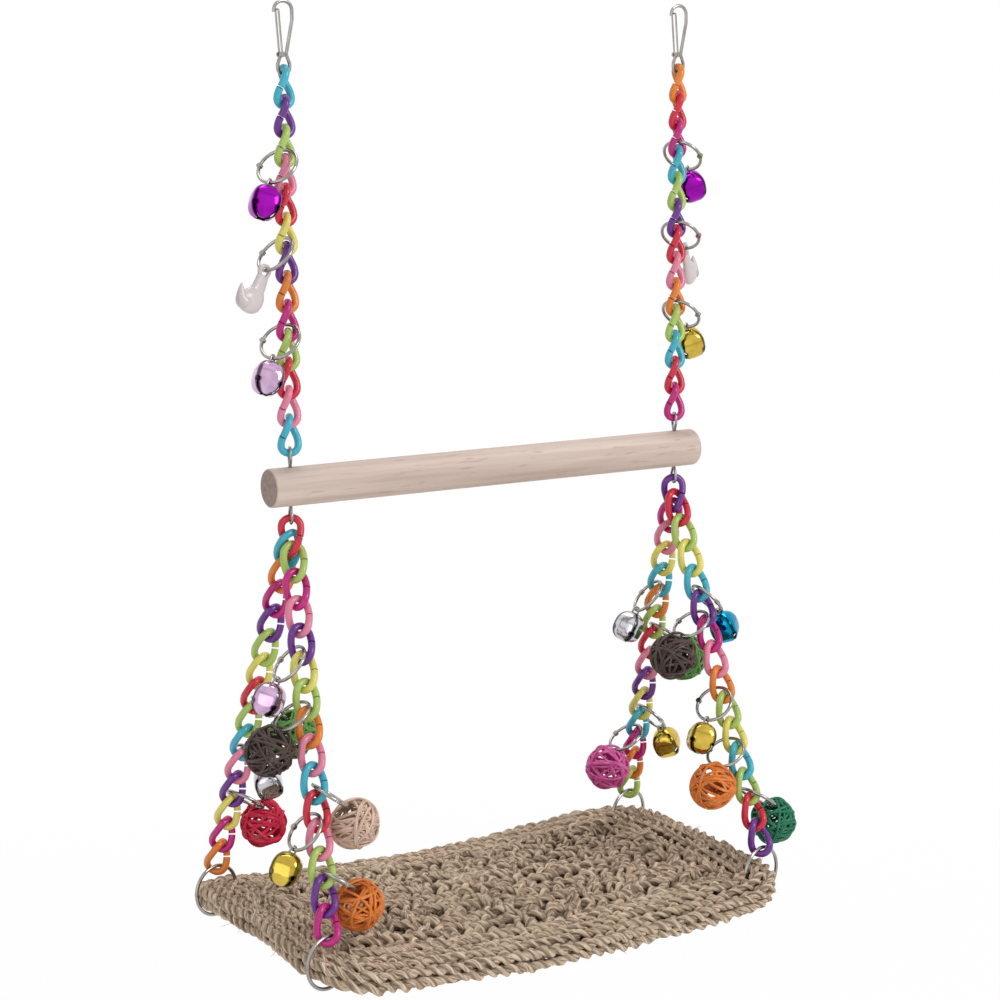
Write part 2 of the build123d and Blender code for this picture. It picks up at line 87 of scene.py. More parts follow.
# %% [markdown]
# ## Sums in a material
# A material's pattern is easier to read as a sum than as a net of nodes. The class below wraps one
# socket. Plus, minus, times and divide on it add a Math node, and the one method `node` adds any
# other node. Colours go through Mix nodes, because a Math node would turn them grey.

# %% A socket that can be used in sums
mix_share, mix_low, mix_high, mix_colour = 0, 6, 7, 2  # a Mix node's sockets for colours


class Value:
    """An output socket; an operator on it adds a Math node to the same tree."""

    def __init__(self, socket):
        self.socket = socket

    def node(self, kind, settings=None, inputs=None, out=0):
        """Add a node of a kind, set its settings first, then its sockets, and wrap an output."""
        tree = self.socket.id_data
        made = tree.nodes.new(kind)
        for key, value in (settings or {}).items():
            setattr(made, key, value)
        for key, value in (inputs or {}).items():
            if isinstance(value, Value):
                tree.links.new(value.socket, made.inputs[key])
            else:
                made.inputs[key].default_value = value
        return Value(made.outputs[out])

    def math(self, operation, *others):
        """A Math node on this value and any others."""
        terms = dict(enumerate((self, *others)))
        return self.node("ShaderNodeMath", {"operation": operation}, terms)

    def __add__(self, other):
        return self.math("ADD", other)

    def __sub__(self, other):
        return self.math("SUBTRACT", other)

    def __mul__(self, other):
        return self.math("MULTIPLY", other)

    def __truediv__(self, other):
        return self.math("DIVIDE", other)

    def between(self, low, high):
        """This share of the way from low to high."""
        return self * (high - low) + low

    def band(self, low, high):
        """0 below low, 1 above high, and a straight ramp between them."""
        return self.node("ShaderNodeMapRange", {"clamp": True}, {0: self, 1: low, 2: high})

    def noise(self, scale, detail=3.0, roughness=0.5):
        """Cloudy shares around a half, from a place."""
        sizes = {"Vector": self, "Scale": scale, "Detail": detail, "Roughness": roughness}
        return self.node("ShaderNodeTexNoise", None, sizes)

    def stretched(self, scale):
        """A place with each of its axes scaled."""
        return self.node("ShaderNodeMapping", None, {"Vector": self, "Scale": scale})

    def blend(self, low, high):
        """Colour between two colours by this share."""
        low, high = [c if isinstance(c, Value) else (*c, 1.0) for c in (low, high)]
        sockets = {mix_share: self, mix_low: low, mix_high: high}
        return self.node("ShaderNodeMix", {"data_type": "RGBA"}, sockets, mix_colour)

    def part(self, axis):
        """One of the three numbers of a place."""
        return self.node("ShaderNodeSeparateXYZ", None, {0: self}, "XYZ".index(axis))

    def bump(self, distance, strength):
        """Normal of a surface with this height on it."""
        sizes = {"Height": self, "Distance": distance, "Strength": strength}
        return self.node("ShaderNodeBump", None, sizes)


print("sums ready")

# %% Starting and feeding a finish
def start_finish(name, **constants):
    """A new material with its shader, and the Object and UV coordinates to build on."""
    material = bpy.data.materials.new(name)
    material.use_nodes = True
    shader = material.node_tree.nodes["Principled BSDF"]
    for key, value in constants.items():
        shader.inputs[key.replace("_", " ")].default_value = value
    spot = material.node_tree.nodes.new("ShaderNodeTexCoord")
    return material, shader, Value(spot.outputs["Object"]), Value(spot.outputs["UV"])


def feed(shader, **values):
    """Link worked-out values to the shader's sockets."""
    for key, value in values.items():
        shader.id_data.links.new(value.socket, shader.inputs[key.replace("_", " ")])


def colour(red, green, blue):
    """A screen colour as linear light: ((c + 0.055) / 1.055) to the power 2.4."""
    return tuple(((c + 0.055) / 1.055) ** 2.4 for c in (red, green, blue))


def shaded(tone, share):
    """A tone with only a share of its light."""
    return tuple(c * share for c in tone)


print("middle grey of the screen as light", colour(0.5, 0.5, 0.5)[0])

# %% [markdown]
# ## Light, floor and background
# The photograph is a studio picture on white. A white world alone would do, but then nothing would
# show where the ground is. So a pale floor lies below the mat. World and floor show almost plain
# white to the camera and in reflections, while they light the object at a lower strength. Near the
# object the floor is not quite plain, so that a faint shadow stays on it.

# %% Background
white, room_share = (1.0, 1.0, 1.0, 1.0), 0.50
seen_by = ("Is Camera Ray", "Is Glossy Ray", "Is Transmission Ray")


def white_when_seen(value, inside):
    """1 for rays from the camera, in mirrors and through glass, and inside elsewhere."""
    path = value.node("ShaderNodeLightPath")
    rays = [Value(path.socket.node.outputs[kind]) for kind in seen_by]
    return (rays[0] + rays[1] + rays[2]).math("MINIMUM", 1.0).between(inside, 1.0)


world = bpy.data.worlds.new("studio")
scene.world = world
world.use_nodes = True
backdrop = world.node_tree.nodes["Background"]
backdrop.inputs["Color"].default_value = white
glow = white_when_seen(Value(backdrop.outputs[0]), room_share)
world.node_tree.links.new(glow.socket, backdrop.inputs["Strength"])
print("world lights the object at", room_share)

# %% Floor
floor_half, floor_z, floor_glow = 6.0, -0.80, 0.12
floor_tones = (0.93, 0.93, 0.93), (0.95, 0.95, 0.95)
near_share, far_span = 0.9, (0.1, 1.5)  # how plain it is below the object; distances squared
floor_mesh = bpy.data.meshes.new("floor")
corners = np.array([(-1, -1, 0), (1, -1, 0), (1, 1, 0), (-1, 1, 0)]) * floor_half + (0, 0, floor_z)
floor_mesh.from_pydata(corners.tolist(), [], [(0, 1, 2, 3)])
floor = bpy.data.objects.new("floor", floor_mesh)
scene.collection.objects.link(floor)
pale, pale_shader, spot, _ = start_finish("pale_floor", Roughness=0.9, Emission_Color=white,
                                          Emission_Strength=floor_glow)
feed(pale_shader, Base_Color=spot.noise(2.0).band(0.3, 0.7).blend(*floor_tones))
plain_white = spot.node("ShaderNodeEmission", None, {"Color": white, "Strength": 1.0})
far = (spot.part("X") * spot.part("X") + spot.part("Y") * spot.part("Y")).band(*far_span)
plain_share = white_when_seen(spot, 0.0) * far.between(near_share, 1.0)
both = {0: plain_share, 1: Value(pale_shader.outputs[0]), 2: plain_white}
mixed = spot.node("ShaderNodeMixShader", None, both)
pale.node_tree.links.new(mixed.socket, pale.node_tree.nodes["Material Output"].inputs["Surface"])
floor_mesh.materials.append(pale)
print("floor at", floor_z)

# %% Lamps
lamp_target = np.array([0.0, 0.0, -0.28])
lamps = [("key", (0.9, -1.8, 0.9), 0.9, 22.0),
         ("fill", (-1.7, -1.1, 0.1), 1.2, 4.0),
         ("top", (0.1, 0.5, 1.5), 1.0, 11.0)]


def soft_lamp(name, point, width, watts):
    """Square area lamp that faces the middle of the swing."""
    lamp = bpy.data.objects.new(name, bpy.data.lights.new(name, "AREA"))
    lamp.data.size, lamp.data.energy = width, watts
    away = np.array(point, float) - lamp_target
    away /= np.linalg.norm(away)
    side = np.cross((0, 0, 1), away)
    side /= np.linalg.norm(side)
    turned = np.eye(4)
    turned[:3, :4] = np.stack([side, np.cross(away, side), away, point], axis=1)
    lamp.matrix_world = Matrix(turned.tolist())
    scene.collection.objects.link(lamp)


for lamp_name, point, width, watts in lamps:
    soft_lamp(lamp_name, point, width, watts)
print("lamps", len(lamps))

# %% [markdown]
# ## Surfaces from arrays
# Strings, canes and wire are all tubes. Blender could bevel a curve for each, but a grid of points is
# as short: one index runs along a path and the other round a section. Whole arrays give all strands
# at once, and the same index sum makes all faces.

# %% Faces of tubes
def strip_faces(count, along, around, closed):
    """Corner numbers of every quad on `count` tubes of `along` by `around` points."""
    first = np.arange(along if closed else along - 1)
    row, col = np.meshgrid(first, np.arange(around), indexing="ij")
    next_row, next_col = (row + 1) % along, (col + 1) % around
    quad = np.stack([row * around + col, row * around + next_col,
                     next_row * around + next_col, next_row * around + col], axis=-1)
    steps = np.arange(count)[:, None, None, None] * along * around
    return (steps + quad).reshape(-1, 4)


print("quads on a closed tube of 3 by 4 points", len(strip_faces(1, 3, 4, True)))

# %% Points of tubes
upright = np.array((0.0, 0.0, 1.0))


def tube_points(path, normal, radius, around, closed=False, lobes=0, lobe_share=0.0, twist=None):
    """Tube round paths (tubes, along, 3): path + r (cos a N + sin a B), with B = T x N.
    With lobes, r grows and shrinks round the section as cos(lobes (a - twist))."""
    tangent = np.roll(path, -1, 1) - np.roll(path, 1, 1) if closed else np.gradient(path, axis=1)
    tangent /= np.linalg.norm(tangent, axis=-1, keepdims=True)
    normal = normal - (normal * tangent).sum(-1, keepdims=True) * tangent
    normal /= np.linalg.norm(normal, axis=-1, keepdims=True)
    cross = np.cross(tangent, normal)
    angle = np.arange(around) * 2 * pi / around
    angle = np.broadcast_to(angle, path.shape[:2] + (around,))
    size = np.broadcast_to(radius, path.shape[:2])[..., None]
    if lobes:
        size = size * (1 + lobe_share * np.cos(lobes * (angle - twist[..., None])))
    ring = (np.cos(angle)[..., None] * normal[..., None, :]
            + np.sin(angle)[..., None] * cross[..., None, :])
    return path[..., None, :] + size[..., None] * ring


def one_tube(line, lay, radius, around, closed=False):
    """Tube round a single line (along, 3); its section starts in one fixed direction."""
    return tube_points(line[None], np.broadcast_to(lay, line[None].shape), radius, around, closed)


print("points of a tube of 3 by 4", one_tube(np.eye(3), upright, 0.1, 4).shape)

# %% Meshes that ride on a body
def mesh_piece(name, points, closed, body, finish, run=None, twist=0.0):
    """Mesh of tubes (tubes, along, around, 3) that rides on a body. Its UV is the length along the
    tube and the turn round it, less the twist."""
    count, along, around, _ = points.shape
    sides = strip_faces(count, along, around, closed).tolist()
    line = points.mean(2)
    step = np.linalg.norm(np.roll(line, -1, 1) - line, axis=-1)
    run = np.broadcast_to(np.cumsum(step, 1) - step if run is None else run, step.shape)
    twist = np.broadcast_to(twist, step.shape) / (2 * pi)
    next_run = np.concatenate([run[:, 1:], run[:, -1:] + step[:, -1:]], axis=1)
    next_twist = np.concatenate([twist[:, 1:], 2 * twist[:, -1:] - twist[:, -2:-1]], axis=1)
    rows = slice(0, along if closed else along - 1)
    length, lay = [np.stack([here, here, there, there], axis=-1)[:, rows, None]
                   for here, there in ((run, next_run), (twist, next_twist))]
    turn_share = (np.arange(around)[:, None] + (0, 1, 1, 0)) / around
    uv = np.stack(np.broadcast_arrays(length, turn_share - lay), axis=-1).reshape(-1, 2)
    if not closed:
        ends = np.arange(around) + np.arange(count)[:, None] * along * around
        sides += ends[:, ::-1].tolist() + (ends + (along - 1) * around).tolist()
        uv = np.concatenate([uv, np.zeros((2 * ends.size, 2))])
    mesh = bpy.data.meshes.new(name)
    mesh.from_pydata(points.reshape(-1, 3), [], sides)
    mesh.polygons.foreach_set("use_smooth", np.ones(len(mesh.polygons), bool))
    mesh.uv_layers.new(name="along").data.foreach_set("uv", uv.astype(np.float32).reshape(-1))
    mesh.materials.append(finish)
    piece = bpy.data.objects.new(name, mesh)
    scene.collection.objects.link(piece)
    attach(piece, body)
    print(name, "faces", len(mesh.polygons))
    return piece


# %% [markdown]
# ## How the mat lies
# The mat hangs by its four corners in a shallow bow, lowest in the middle of its length, and its long
# edges droop a little below the middle. A cloth simulation could find such a shape. Both curves are
# smooth, so one function gives the height of the mat's middle layer anywhere, for the shapes and for
# the shade in the hollows.

# %% Bow and droop
mat_low, mat_high = [np.array(v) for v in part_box("mat")]
mat_half = (mat_high - mat_low)[:2] / 2
mat_sag, mat_thick, mat_droop = 0.010, 0.012, 0.006
bow_radius = (mat_half[0] ** 2 + mat_sag ** 2) / (2 * mat_sag)
bow_floor = mat_low[2] + mat_thick / 2


def mat_height(x, y):
    """Height of the middle layer: floor + x^2 / 2R along the mat, less a droop of (y / half)^2."""
    return bow_floor + mat_droop + x ** 2 / (2 * bow_radius) - mat_droop * (y / mat_half[1]) ** 2


print("mat half size", mat_half.round(4), "bow radius", round(bow_radius, 3))

# %% [markdown]
# ## Seagrass
# Seagrass is a dry grey-brown blade, twisted into two-ply string. Fine streaks run along each ply. The
# groove between the plies and the hollows between the strands get painted shade, a darker colour
# where shadow falls. A pattern in space would run across the string, so the streaks and the painted
# shade of the groove read the UV map, which follows the string's own length and twist.

# %% Seagrass finish
plies = 2


def seagrass_finish():
    """Streaks along the string, and ridges where the cosine of the turn is high, with painted shade in
    the groove between them. A place is raised where it lies off the mat's middle layer or at the rim,
    where (x / half)^8 + (y / half)^8 nears 1, and a hollow with painted shade elsewhere."""
    made, shader, spot, along = start_finish("seagrass", Specular_IOR_Level=0.25)
    light, dark = colour(0.93, 0.84, 0.74), colour(0.53, 0.44, 0.36)
    warm, dull = colour(0.78, 0.68, 0.58), colour(0.78, 0.73, 0.62)
    groove_shade_tone, hollow_shade_tone = colour(0.34, 0.26, 0.20), colour(0.25, 0.19, 0.14)
    streaks, raised_span, rim_span = (200.0, 12.0, 1.0), (0.0002, 0.0052), (0.45, 0.70)
    fibre = along.stretched(streaks).noise(scale=1.0, detail=4.0, roughness=0.65)
    blade, patch = [spot.noise(scale, detail=2.0) for scale in (70.0, 16.0)]
    x, y, z = [spot.part(axis) for axis in "XYZ"]
    level = z - x * x / (2 * bow_radius) + y * y * (mat_droop / mat_half[1] ** 2)
    level = level - (bow_floor + mat_droop)
    rim_x = (x * x / mat_half[0] ** 2).math("POWER", 4.0)
    rim_y = (y * y / mat_half[1] ** 2).math("POWER", 4.0)
    open_rim = (rim_x + rim_y).band(*rim_span)
    raised = level.math("ABSOLUTE").band(*raised_span).math("MAXIMUM", open_rim)
    ridge = (along.part("Y") * (plies * 2 * pi)).math("COSINE").band(-0.95, 0.1)
    tone = fibre.band(0.38, 0.60).blend(dark, light)
    tone = (blade.band(0.5, 0.72) * 0.5).blend(tone, warm)
    tone = (patch.band(0.5, 0.8) * 0.35).blend(tone, dull)
    # Painted shade: the groove between the plies and the hollows between the strands are darkened where
    # shadow falls.
    tone = ridge.between(0.35, 1.0).blend(groove_shade_tone, tone)
    tone = raised.between(0.15, 1.0).blend(hollow_shade_tone, tone)
    relief = (fibre + ridge * 0.6).bump(distance=0.0006, strength=0.8)
    feed(shader, Base_Color=tone, Roughness=fibre.between(0.7, 0.9), Normal=relief)
    return made


seagrass = seagrass_finish()
print("finish", seagrass.name)

# %% [markdown]
# ## The mat
# Rows of three-strand plait follow the mat's edge, and more rows fill the middle, where the work is
# looser. In a plait each strand moves sideways as a sine and up and down as a sine of twice the pace,
# and the three strands are a third of a turn apart. The rows could be one mesh with a printed weave,
# but real strands give the ragged outline and the dark gaps.

# %% Smooth noise
def smooth_noise(shape, cells, seed):
    """Random values in -1..1 on a ring of cells along the last axis, joined by half cosines."""
    source = np.random.default_rng(seed).uniform(-1, 1, shape[:-1] + (cells + 1,))
    source[..., -1] = source[..., 0]
    place_run = np.linspace(0, cells, shape[-1], endpoint=False)
    low = place_run.astype(int)
    share = (1 - np.cos(pi * (place_run - low))) / 2
    return source[..., low] * (1 - share) + source[..., low + 1] * share


print("noise over three cells", smooth_noise((6,), 3, 0).round(2))

# %% Strands of a plait
strands, cell_share, least_cells = 3, 0.7, 4
phase_sway, size_sway, radius_sway = 0.5, 0.25, 0.18
side_shake, rise_shake = 0.0006, 0.0008


def plait(path, outward, seed, closed, wave, width, height, radius, rough):
    """Three strands along paths (rows, along, 3): sideways w sin p, upward h sin 2p, with
    p = 2 pi s / wave + a third of a turn for each strand. Returns strands, radii and lengths."""
    rows, along, _ = path.shape
    step = np.linalg.norm(np.diff(path, axis=1, prepend=path[:, :1]), axis=-1)
    run = np.cumsum(step, axis=1)
    total = run[:, -1:]
    if closed:
        total = total + np.linalg.norm(path[:, 0] - path[:, -1], axis=-1)[:, None]
    phase = 2 * pi * run / total * np.round(total / wave)
    third = (np.arange(strands) * 2 * pi / strands)[:, None, None]
    start = np.random.default_rng(seed).uniform(0, 2 * pi, rows)[None, :, None]
    cells = max(least_cells, int(run.max() / wave / cell_share))
    sway, wander = [smooth_noise((strands, rows, along), cells, seed + k) * rough for k in (1, 2)]
    phase = phase[None] + third + start + phase_sway * sway
    side = width * (1 + size_sway * wander) * np.sin(phase) + side_shake * sway
    rise = height * (1 + size_sway * sway) * np.sin(2 * phase) + rise_shake * wander
    strand = path[None] + side[..., None] * outward[None] + rise[..., None] * upright
    size = radius * (1 + radius_sway * smooth_noise((strands * rows, along), cells, seed + 3))
    return strand.reshape(strands * rows, along, 3), size, np.tile(run, (strands, 1))


print("strands in a plait", strands)

# %% Two-ply string
ply_around, ply_share = 9, 0.2


def two_ply(name, strand, size, run, pitch, closed=False):
    """String of two plies: a section with two lobes that makes whole turns, about one in a pitch."""
    lay = np.broadcast_to(upright, strand.shape)
    twist = run * 2 * pi * np.round(run[:, -1:] / pitch) / run[:, -1:]
    points = tube_points(strand, lay, size, ply_around, closed, plies, ply_share, twist)
    piece = mesh_piece(name, points, closed, "mat_frame", seagrass, run, twist)
    return piece


print("plies in a string", plies)

# %% Edge rows
edge_half, edge_corner, least_corner = mat_half + (0.0015, 0.0), 0.036, 0.010
edge_shift, edge_steps = -0.0025, 640
edge_wander, wander_cells, edge_lift, lift_cells = 0.0012, 30, 0.0008, 34
edge_plait = {"wave": 0.027, "width": 0.0027, "height": 0.0015, "radius": 0.0020, "rough": 0.7}
edge_pitch = 0.016


def rim_path(inset, drop, along):
    """Rounded rectangle inside the mat's outline by an inset, in even steps, on the lying mat:
    corner centre + r (cos a, sin a) on a corner, and a straight run up to it before."""
    corner = max(edge_corner - inset, least_corner)
    flat = edge_half - inset - corner
    quarter = corner * pi / 2
    lengths = np.array([2 * flat[1], quarter, 2 * flat[0], quarter] * 2)
    marks = np.concatenate([[0], np.cumsum(lengths)])
    spot_run = np.linspace(0, marks[-1], along, endpoint=False)
    leg = np.searchsorted(marks, spot_run, side="right") - 1
    local = spot_run - marks[leg]
    heading = leg // 2 * pi / 2
    out_angle = heading + np.where(leg % 2 == 1, local / corner, 0.0)
    turn_centre = np.array([(1, 1), (-1, 1), (-1, -1), (1, -1)])[leg // 2] * flat
    out = np.stack([np.cos(out_angle), np.sin(out_angle)], axis=1)
    ahead = np.stack([-np.sin(heading), np.cos(heading)], axis=1)
    behind = np.where(leg % 2 == 0, local - lengths[leg], 0.0)
    point = turn_centre + corner * out + ahead * behind[:, None]
    seed = int(inset * 1e6)
    point += edge_wander * smooth_noise((2, along), wander_cells, seed + 5).T
    z = mat_height(*point.T) + drop + edge_lift * smooth_noise((along,), lift_cells, seed + 9)
    path = np.column_stack([point[:, 0] + edge_shift, point[:, 1], z])
    return path[None], np.column_stack([out, np.zeros(along)])[None]


# How far inside the outline a row lies, how far above the middle layer, and its seed.
edge_rows = [(0.0050, -0.0038, 21), (0.0056, 0.0018, 22), (0.0130, 0.0036, 23), (0.0135, -0.0040, 24),
             (0.0215, 0.0036, 25), (0.0220, -0.0034, 26), (0.0300, 0.0034, 27), (0.0290, -0.0036, 28)]
for number, (inset, drop, seed) in enumerate(edge_rows):
    path, outward = rim_path(inset, drop, edge_steps)
    strand, size, run = plait(path, outward, seed, True, **edge_plait)
    two_ply(f"mat_edge_row_{number}", strand, size, run, edge_pitch, True)

# %% Middle rows
row_half, row_steps, row_meshes = mat_half - (0.028, 0.034), 250, 3
row_wander, row_cells, row_lift, row_lift_cells = 0.0028, 13, 0.0012, 18
row_plait = {"wave": 0.026, "width": 0.0050, "height": 0.0027, "radius": 0.0024, "rough": 1.0}
row_pitch = 0.015
loose_at, loose_half = (0.100, 0.045), (0.040, 0.030)
loose_shift, loose_wave, loose_thin = 0.007, 0.035, 0.45
# Each layer's name, rows, height above the middle layer, inset at the sides, and seed.
layers = [("upper", 9, 0.0018, 0.0, 31), ("lower", 8, -0.0014, 0.008, 35)]
for layer, row_count, drop, inset, seed in layers:
    grid_shape = (row_count, row_steps)
    x = np.broadcast_to(np.linspace(-row_half[0], row_half[0], row_steps), grid_shape)
    y = np.linspace(-1, 1, row_count)[:, None] * (row_half[1] - inset)
    y = y + row_wander * smooth_noise(grid_shape, row_cells, seed)
    loose = np.exp(-((x - loose_at[0]) / loose_half[0]) ** 2
                   - ((y - loose_at[1]) / loose_half[1]) ** 2)
    y = y + loose_shift * loose * np.sin(x * 2 * pi / loose_wave)
    z = mat_height(x, y) + drop + row_lift * smooth_noise(grid_shape, row_lift_cells, seed + 1)
    row_path = np.stack([x + edge_shift, y, z], axis=-1)
    row_out = np.zeros_like(row_path) + (0.0, 1.0, 0.0)
    strand, size, run = plait(row_path, row_out, seed + 2, False, **row_plait)
    size = size * (1 - loose_thin * np.tile(loose, (strands, 1)))
    rows = [two_ply(f"mat_{layer}_rows_{k}", *[v[k::row_meshes] for v in (strand, size, run)], row_pitch)
            for k in range(row_meshes)]
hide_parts("mat")

# %% Stitches across the rows
# A stitch is start + reach (s ahead + bulge (1 - s^2) beside) for s from -1 to 1, arched as 1 - s^4.
source = np.random.default_rng(41)
stitch_count, stitch_steps, stitch_margin = 150, 20, 0.004
stitch_leans, lean_spread = (-0.7, 0.7, 1.5), 0.3
stitch_reach, stitch_bulge = (0.007, 0.012), (-0.5, 0.5)
stitch_arch, arch_spread = 0.0058, (-0.0006, 0.0008)
stitch_radius, stitch_pitch = 0.0018, 0.012
share = np.linspace(-1, 1, stitch_steps)[None, :, None]
start = source.uniform(-1, 1, (stitch_count, 2)) * (row_half - stitch_margin)
lean = source.choice(stitch_leans, stitch_count) + source.normal(0, lean_spread, stitch_count)
ahead = np.stack([np.cos(lean), np.sin(lean)], axis=1)[:, None]
beside = np.stack([-np.sin(lean), np.cos(lean)], axis=1)[:, None]
reach = source.uniform(*stitch_reach, (stitch_count, 1, 1))
bulge = source.uniform(*stitch_bulge, (stitch_count, 1, 1))
flat_path = start[:, None] + reach * (share * ahead + bulge * (1 - share ** 2) * beside)
arch = stitch_arch * (1 - share[..., 0] ** 4) + source.uniform(*arch_spread, (stitch_count, 1))
height = mat_height(*np.moveaxis(flat_path, -1, 0)) + arch
stitch = np.concatenate([flat_path, height[..., None]], axis=-1)
length = (share[..., 0] + 1) * reach[..., 0]
two_ply("mat_stitches", stitch, stitch_radius, length, stitch_pitch)

# %% Loose fibres
# A fibre is root + reach (s away + s^2 curl) for s from 0 to 1, and it gets thinner to its tip.
source = np.random.default_rng(43)
fibre_count, fibre_steps, fibre_around = 360, 6, 4
fibre_reach, fibre_radius, fibre_taper = (0.003, 0.006), 0.00026, 0.7
rim_inset, inner_lift, rim_chance = 0.004, 0.004, 0.5
away_spread, curl_spread = 0.55, 0.5
rise, droop, lay = (0.0, 0.0, 0.3), (0.0, 0.0, 0.3), (0.3, 0.5, 0.8)
pick = source.integers(0, edge_steps, fibre_count)
rim, rim_out = [grid[0][pick] for grid in rim_path(rim_inset, 0.0, edge_steps)]
inner = source.uniform(-1, 1, (fibre_count, 2)) * row_half
inner = np.column_stack([inner, mat_height(*inner.T) + inner_lift])
at_rim = source.uniform(size=(fibre_count, 1)) < rim_chance
root = np.where(at_rim, rim, inner)
away = np.where(at_rim, rim_out, rise) + source.normal(0, away_spread, (fibre_count, 3))
away /= np.linalg.norm(away, axis=1, keepdims=True)
curl = source.normal(0, curl_spread, (fibre_count, 3)) - droop
share = np.linspace(0, 1, fibre_steps)[None, :, None]
reach = source.uniform(*fibre_reach, (fibre_count, 1, 1))
fibre = root[:, None] + reach * (share * away[:, None] + share ** 2 * curl[:, None])
thin = np.broadcast_to(fibre_radius * (1 - fibre_taper * share[..., 0]), fibre.shape[:2])
points = tube_points(fibre, np.broadcast_to(lay, fibre.shape), thin, fibre_around)
mesh_piece("mat_fibres", points, False, "mat_frame", seagrass)

# %% [markdown]
# ## Rattan balls
# Each ball is a few thin canes wound at random round a ball and left open. A ball with holes cut in it
# would look pressed, so the canes are real here. Every winding is a circle on the ball, a little off
# its middle, with a slow wobble. Windings that would pass through the ring that carries the ball are
# left out, and one is laid over the ring to hold it.

# %% Rattan finish
def rattan_finish(name, tone):
    """Streaks along the cane from a dark tone to the full one, with paler worn patches."""
    made, shader, spot, along = start_finish(name, Specular_IOR_Level=0.35)
    streaks, dark_share, pale_share, pale_lift = (180.0, 5.0, 1.0), 0.48, 0.75, 0.14
    fibre = along.stretched(streaks).noise(scale=1.0)
    patch = spot.noise(scale=160.0, detail=2.0)
    wear_and_shade = fibre.band(0.36, 0.64).blend(shaded(tone, dark_share), tone)
    pale_tone = tuple(min(1.0, pale_share * c + pale_lift) for c in tone)
    wear_and_shade = (patch.band(0.5, 0.75) * 0.5).blend(wear_and_shade, pale_tone)
    relief = fibre.bump(distance=0.00025, strength=0.7)
    feed(shader, Base_Color=wear_and_shade, Roughness=fibre.between(0.45, 0.70), Normal=relief)
    return made


rattan_tones = {
    "brown": colour(0.33, 0.26, 0.24),
    "natural": colour(0.93, 0.80, 0.71),
    "orange": colour(0.97, 0.55, 0.22),
    "green": colour(0.36, 0.60, 0.26),
    "red": colour(0.91, 0.12, 0.30),
    "pink": colour(0.95, 0.41, 0.72),
    "forest": colour(0.08, 0.50, 0.36),
}
rattan = {name: rattan_finish(f"rattan_{name}", tone) for name, tone in rattan_tones.items()}
print("rattan finishes", len(rattan))

# %% Where a toy hangs
ring_reach, wire_steps = 0.0115, 120


def toys_of(kind):
    """Names of all toys of a kind, in order."""
    return sorted(n for n in nodes if n.endswith(f"_{kind}"))


def hanger_of(toy):
    """Foot of the ring that carries a toy, and the directions across and out, from the toy's hinge."""
    joint = next(j for j in frame["joints"] if j["child"] == toy)
    across = np.array(joint["axis"], float)
    return np.array(joint["pos_m"], float), across, np.cross(upright, across)


def leaning(out, degrees):
    """A toy's own outward and upward directions, tilted away from the chain."""
    tilt = radians(degrees)
    return out * cos(tilt) + upright * sin(tilt), upright * cos(tilt) - out * sin(tilt)


def ring_wire(foot, across, out, lean):
    """Points of the leaning ring: c + r (cos t down + sin t across), with c = foot - r down."""
    down = out * sin(lean) - upright * cos(lean)
    turn_on = np.linspace(0, 2 * pi, wire_steps, endpoint=False)[:, None]
    return foot + ring_reach * ((np.cos(turn_on) - 1) * down + np.sin(turn_on) * across)


print("balls", len(toys_of("ball")), "bells", len(toys_of("bell")), "charms", len(toys_of("charm")))

# %% Windings
tries, loop_steps = 220, 44
winding_depth, winding_wobble, winding_offset = (0.0001, 0.0018), 0.03, 0.5


def windings(centre, reach, seed):
    """Circles d n + sqrt(R^2 - d^2) (cos t a + sin t b) on a ball, with a slow wobble of R."""
    source = np.random.default_rng(seed)
    pole = source.normal(size=(tries, 3))
    pole /= np.linalg.norm(pole, axis=1, keepdims=True)
    first = np.cross(pole, source.normal(size=(tries, 3)))
    first /= np.linalg.norm(first, axis=1, keepdims=True)
    second = np.cross(pole, first)
    size = reach - source.uniform(*winding_depth, tries)[:, None]
    angle = np.linspace(0, 2 * pi, loop_steps, endpoint=False)[None]
    wobble = 1 + winding_wobble * np.sin(2 * angle + source.uniform(0, 2 * pi, (tries, 1)))
    wobble = wobble / np.maximum(wobble.max(1, keepdims=True), 1.0)
    offset = source.uniform(-winding_offset, winding_offset, tries)[:, None] * size
    flat = np.sqrt(size ** 2 - offset ** 2)
    loop = (offset[..., None] * pole[:, None] + (flat * np.cos(angle))[..., None] * first[:, None]
            + (flat * np.sin(angle))[..., None] * second[:, None])
    return loop * wobble[..., None] + centre


def holding_hoop(centre, reach, first, second):
    """The one winding that goes over the ring: R (cos t x + sin t z) in the toy's own directions."""
    angle = np.linspace(0, 2 * pi, loop_steps, endpoint=False)[:, None]
    return centre + reach * (np.cos(angle) * first + np.sin(angle) * second)


hoop_reach, hoop_lift, ring_clear = 0.0141, 0.0022, 0.0024
cane_radius, cane_around, wound = 0.0009, 7, 24
cane_shares, broad_from, broad_share = (0.75, 1.15), 1.1, 1.25
ball_tilt, ball_lean = 22.0, radians(55.0)
winding_seed, cane_seed = 100, 300
for number, name in enumerate(toys_of("ball")):
    tone = name.split("_")[-2]
    foot, across, out = hanger_of(name)
    toy_out, toy_up = leaning(out, ball_tilt)
    centre = foot + toy_up * (hoop_lift - hoop_reach)
    loops = windings(centre, hoop_reach, winding_seed + number)
    wire = ring_wire(foot, across, out, ball_lean)
    gap = np.linalg.norm(loops[:, :, None] - wire, axis=-1).min((1, 2))
    hoop = holding_hoop(centre, hoop_reach, toy_out, toy_up)
    loops = np.concatenate([hoop[None], loops[gap > ring_clear][:wound]])
    cane = np.random.default_rng(cane_seed + number).uniform(*cane_shares, (len(loops), 1))
    cane = cane_radius * np.where(cane > broad_from, broad_share, cane)
    points = tube_points(loops, loops - centre, cane, cane_around, True)
    piece = mesh_piece(f"{name}_windings", points, True, name, rattan[tone])
    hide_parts(name)
